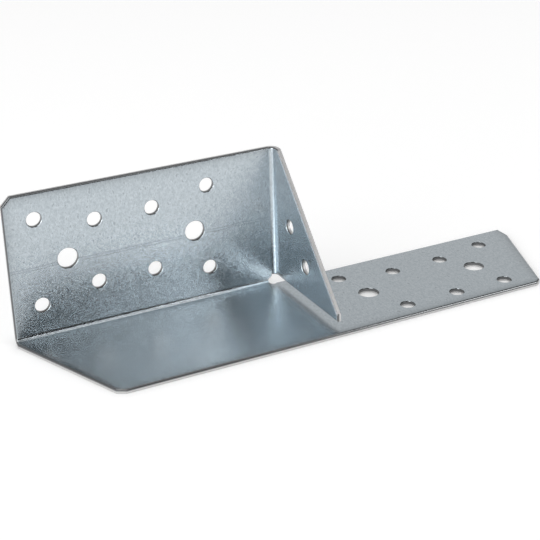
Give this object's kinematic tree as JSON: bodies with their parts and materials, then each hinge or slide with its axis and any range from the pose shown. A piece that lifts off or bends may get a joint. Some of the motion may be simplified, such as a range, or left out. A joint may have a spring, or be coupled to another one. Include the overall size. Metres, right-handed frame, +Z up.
{
  "type": "universal framing bracket",
  "caption": "Folded galvanised sheet bracket: a flat base and leg, an upright holed flange along one half and a triangular gusset across its end, for nailing timber frames.",
  "frame": {"origin": "centre of the bounding box in X and Y, on the underside of the base", "axes": "+X along the bracket from the flange's free end to the leg's end, +Y from the front edge to the back of the flange, +Z up from the base"},
  "size_m": [0.19, 0.0486, 0.0515],
  "materials": {
    "galvanised_steel": "zinc-galvanised sheet, semi-bright, finely mottled"
  },
  "bodies": {
    "root": {"framing_bracket": "galvanised_steel"}
  },
  "joints": []
}
